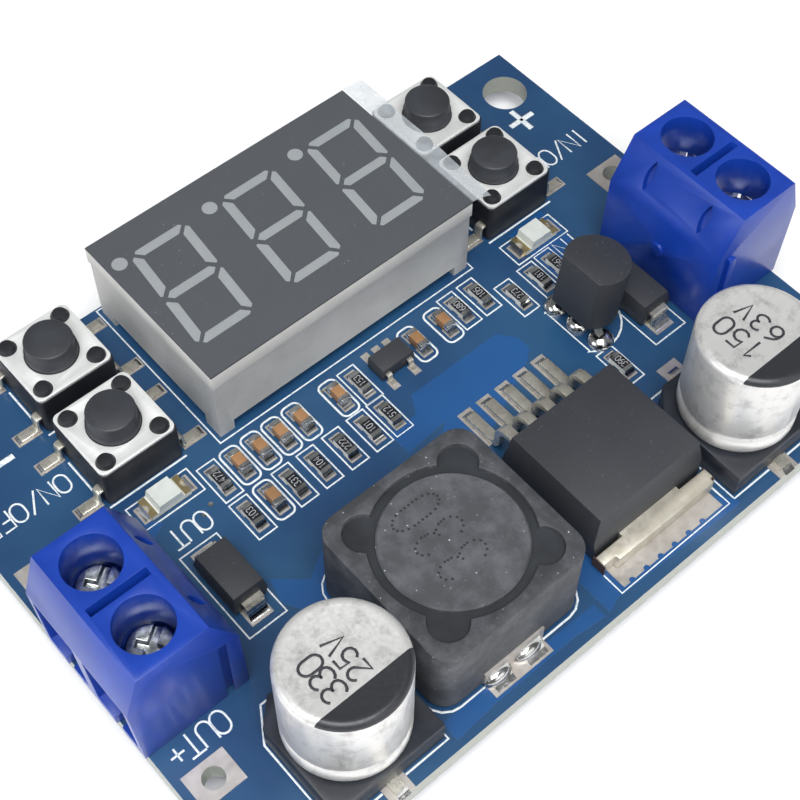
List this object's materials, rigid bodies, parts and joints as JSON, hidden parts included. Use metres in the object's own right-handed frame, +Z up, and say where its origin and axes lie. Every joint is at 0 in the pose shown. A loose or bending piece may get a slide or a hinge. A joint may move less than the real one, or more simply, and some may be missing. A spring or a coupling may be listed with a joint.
{
  "type": "step-down converter module",
  "caption": "Step-down power module on a blue board with numeric display, push buttons, screw terminals, shielded inductor, regulator and electrolytic capacitors.",
  "frame": {"origin": "centre of the four mounting holes (the middle of the board) at the underside of the board", "axes": "+X along the board from the output terminal to the input terminal, +Y across the board towards the display, +Z up out of the component side"},
  "size_m": [0.0566, 0.0412, 0.0136],
  "materials": {
    "solder_mask": "gloss",
    "tinned_copper": "satin",
    "solder": "gloss",
    "display_plastic": "matte",
    "display_ink": "matte",
    "segment_resin": "matte",
    "display_laminate": "matte",
    "clear_film": "gloss",
    "moulding_compound": "matte",
    "button_plastic": "matte",
    "cover_steel": "satin",
    "spring_steel": "satin",
    "terminal_plastic": "gloss",
    "zinc_plated_steel": "satin",
    "ferrite": "matte",
    "enamelled_copper": "gloss",
    "black_resin": "satin",
    "aluminium_can": "satin",
    "capacitor_base_plastic": "matte",
    "alumina": "matte",
    "black_glaze": "gloss",
    "brown_ceramic": "matte",
    "lamp_laminate": "matte",
    "clear_resin": "gloss",
    "gold_plating": "gloss"
  },
  "bodies": {
    "module": {"board": "solder_mask", "solder_pads": "tinned_copper", "solder_joints": "solder", "display_housing": "display_plastic", "display_face": "display_ink", "display_segments": "segment_resin", "display_circuit": "display_laminate", "display_pins": "tinned_copper", "display_film": "clear_film", "controller_body": "moulding_compound", "controller_leads": "tinned_copper", "button_bases": "button_plastic", "button_covers": "cover_steel", "button_leads": "tinned_copper", "minus_dome": "spring_steel", "plus_dome": "spring_steel", "output_dome": "spring_steel", "reading_dome": "spring_steel", "output_terminal_housing": "terminal_plastic", "output_terminal_contacts": "tinned_copper", "input_terminal_housing": "terminal_plastic", "input_terminal_contacts": "tinned_copper", "inductor_shield": "ferrite", "inductor_core": "ferrite", "inductor_winding": "enamelled_copper", "inductor_resin": "black_resin", "inductor_terminals": "tinned_copper", "capacitor_cans": "aluminium_can", "capacitor_bases": "capacitor_base_plastic", "capacitor_leads": "tinned_copper", "regulator_case": "moulding_compound", "regulator_tab": "tinned_copper", "regulator_leads": "tinned_copper", "transistor_case": "moulding_compound", "transistor_leads": "tinned_copper", "diode_cases": "moulding_compound", "diode_leads": "tinned_copper", "amplifier_case": "moulding_compound", "amplifier_leads": "tinned_copper", "resistor_cores": "alumina", "resistor_coatings": "black_glaze", "resistor_ends": "tinned_copper", "chip_capacitor_bodies": "brown_ceramic", "chip_capacitor_ends": "tinned_copper", "lamp_bases": "lamp_laminate", "lamp_lenses": "clear_resin", "lamp_ends": "gold_plating"},
    "minus_button": {"minus_plunger": "button_plastic"},
    "plus_button": {"plus_plunger": "button_plastic"},
    "output_button": {"output_plunger": "button_plastic"},
    "reading_button": {"reading_plunger": "button_plastic"},
    "output_minus_drive": {"output_minus_screw": "zinc_plated_steel"},
    "output_minus_clamp": {"output_minus_cage": "zinc_plated_steel"},
    "output_plus_drive": {"output_plus_screw": "zinc_plated_steel"},
    "output_plus_clamp": {"output_plus_cage": "zinc_plated_steel"},
    "input_minus_drive": {"input_minus_screw": "zinc_plated_steel"},
    "input_minus_clamp": {"input_minus_cage": "zinc_plated_steel"},
    "input_plus_drive": {"input_plus_screw": "zinc_plated_steel"},
    "input_plus_clamp": {"input_plus_cage": "zinc_plated_steel"}
  },
  "joints": [
    {"name": "minus_press", "type": "slide", "parent": "module", "child": "minus_button", "axis": [0, 0, -1], "range_m": [0, 0.00025], "stiffness_N_per_m": 4000, "deforming": ["minus_dome"]},
    {"name": "plus_press", "type": "slide", "parent": "module", "child": "plus_button", "axis": [0, 0, -1], "range_m": [0, 0.00025], "stiffness_N_per_m": 4000, "deforming": ["plus_dome"]},
    {"name": "output_press", "type": "slide", "parent": "module", "child": "output_button", "axis": [0, 0, -1], "range_m": [0, 0.00025], "stiffness_N_per_m": 4000, "deforming": ["output_dome"]},
    {"name": "reading_press", "type": "slide", "parent": "module", "child": "reading_button", "axis": [0, 0, -1], "range_m": [0, 0.00025], "stiffness_N_per_m": 4000, "deforming": ["reading_dome"]},
    {"name": "output_minus_turn", "type": "hinge", "parent": "module", "child": "output_minus_drive", "pos_m": [-0.0248, -0.00123, 0.0076], "axis": [0, 0, -1], "range_deg": [0, 1010]},
    {"name": "output_minus_lift", "type": "slide", "parent": "module", "child": "output_minus_clamp", "axis": [0, 0, 1], "range_m": [0, 0.0014]},
    {"name": "output_plus_turn", "type": "hinge", "parent": "module", "child": "output_plus_drive", "pos_m": [-0.0248, -0.00631, 0.0076], "axis": [0, 0, -1], "range_deg": [0, 1010]},
    {"name": "output_plus_lift", "type": "slide", "parent": "module", "child": "output_plus_clamp", "axis": [0, 0, 1], "range_m": [0, 0.0014]},
    {"name": "input_minus_turn", "type": "hinge", "parent": "module", "child": "input_minus_drive", "pos_m": [0.0248, -0.00083, 0.0076], "axis": [0, 0, -1], "range_deg": [0, 1010]},
    {"name": "input_minus_lift", "type": "slide", "parent": "module", "child": "input_minus_clamp", "axis": [0, 0, 1], "range_m": [0, 0.0014]},
    {"name": "input_plus_turn", "type": "hinge", "parent": "module", "child": "input_plus_drive", "pos_m": [0.0248, -0.00591, 0.0076], "axis": [0, 0, -1], "range_deg": [0, 1010]},
    {"name": "input_plus_lift", "type": "slide", "parent": "module", "child": "input_plus_clamp", "axis": [0, 0, 1], "range_m": [0, 0.0014]}
  ],
  "couplings": [
    {"joint": "output_minus_turn", "follows": "output_minus_lift", "rad_per_m": 12566},
    {"joint": "output_plus_turn", "follows": "output_plus_lift", "rad_per_m": 12566},
    {"joint": "input_minus_turn", "follows": "input_minus_lift", "rad_per_m": 12566},
    {"joint": "input_plus_turn", "follows": "input_plus_lift", "rad_per_m": 12566}
  ]
}
